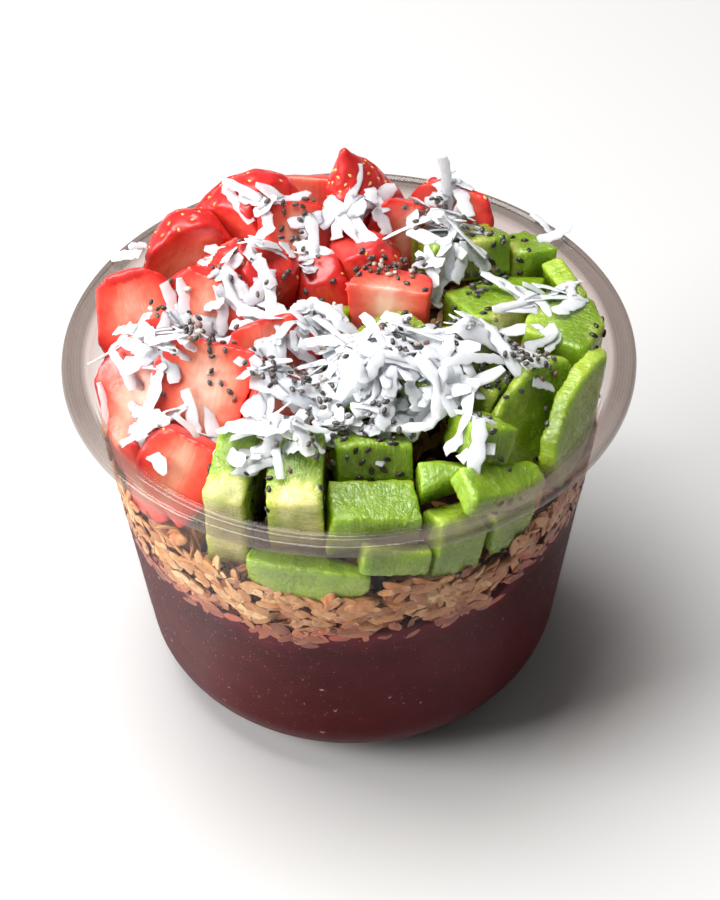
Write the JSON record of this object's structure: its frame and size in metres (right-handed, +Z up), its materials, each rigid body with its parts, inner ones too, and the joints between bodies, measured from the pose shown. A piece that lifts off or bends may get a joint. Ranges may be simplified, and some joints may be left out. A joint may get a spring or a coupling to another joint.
{
  "type": "acai bowl",
  "caption": "Clear plastic tub of acai puree with granola, cut kiwi, cut strawberries, shredded coconut and chia seeds",
  "frame": {"origin": "centre of the tub's flat base, on the surface it stands on", "axes": "+Z up through the middle of the tub; the side most often looked at faces -Y"},
  "size_m": [0.117, 0.117, 0.1024],
  "materials": {
    "tub": "clear",
    "puree": "smooth wet",
    "granola": "dry toasted",
    "kiwi": "wet cut fruit",
    "strawberry": "wet cut fruit",
    "coconut": "dry shreds",
    "seeds": "satin"
  },
  "bodies": {
    "root": {"acai_puree": "puree", "bowl": "tub", "granola_bed": "granola", "kiwi_back_cube": "kiwi", "kiwi_back_quarter": "kiwi", "kiwi_centre": "kiwi", "kiwi_crescent": "kiwi", "kiwi_dark_slice": "kiwi", "kiwi_front_arch": "kiwi", "kiwi_front_corner": "kiwi", "kiwi_front_glossy_block": "kiwi", "kiwi_front_left_block": "kiwi", "kiwi_front_seeded_block": "kiwi", "kiwi_middle": "kiwi", "kiwi_middle_left": "kiwi", "kiwi_middle_right": "kiwi", "kiwi_middle_shade": "kiwi", "kiwi_right_chunk": "kiwi", "kiwi_right_gap": "kiwi", "kiwi_right_low": "kiwi", "kiwi_right_middle": "kiwi", "kiwi_rounded": "kiwi", "kiwi_wall_corner": "kiwi", "kiwi_wall_half_moon": "kiwi", "kiwi_wall_right": "kiwi", "kiwi_wall_slice": "kiwi", "kiwi_wall_small": "kiwi", "strawberry_back_gap": "strawberry", "strawberry_back_left": "strawberry", "strawberry_back_pale": "strawberry", "strawberry_back_right": "strawberry", "strawberry_back_slice": "strawberry", "strawberry_back_small": "strawberry", "strawberry_back_wedge": "strawberry", "strawberry_big_half": "strawberry", "strawberry_centre_block": "strawberry", "strawberry_centre_low": "strawberry", "strawberry_left_gap": "strawberry", "strawberry_left_half": "strawberry", "strawberry_left_low": "strawberry", "strawberry_left_side": "strawberry", "strawberry_left_slice": "strawberry", "strawberry_middle_front": "strawberry", "strawberry_middle_left": "strawberry", "strawberry_rim_low": "strawberry", "strawberry_shaded": "strawberry", "strawberry_tall": "strawberry", "strawberry_wall_low": "strawberry"}
  },
  "joints": []
}
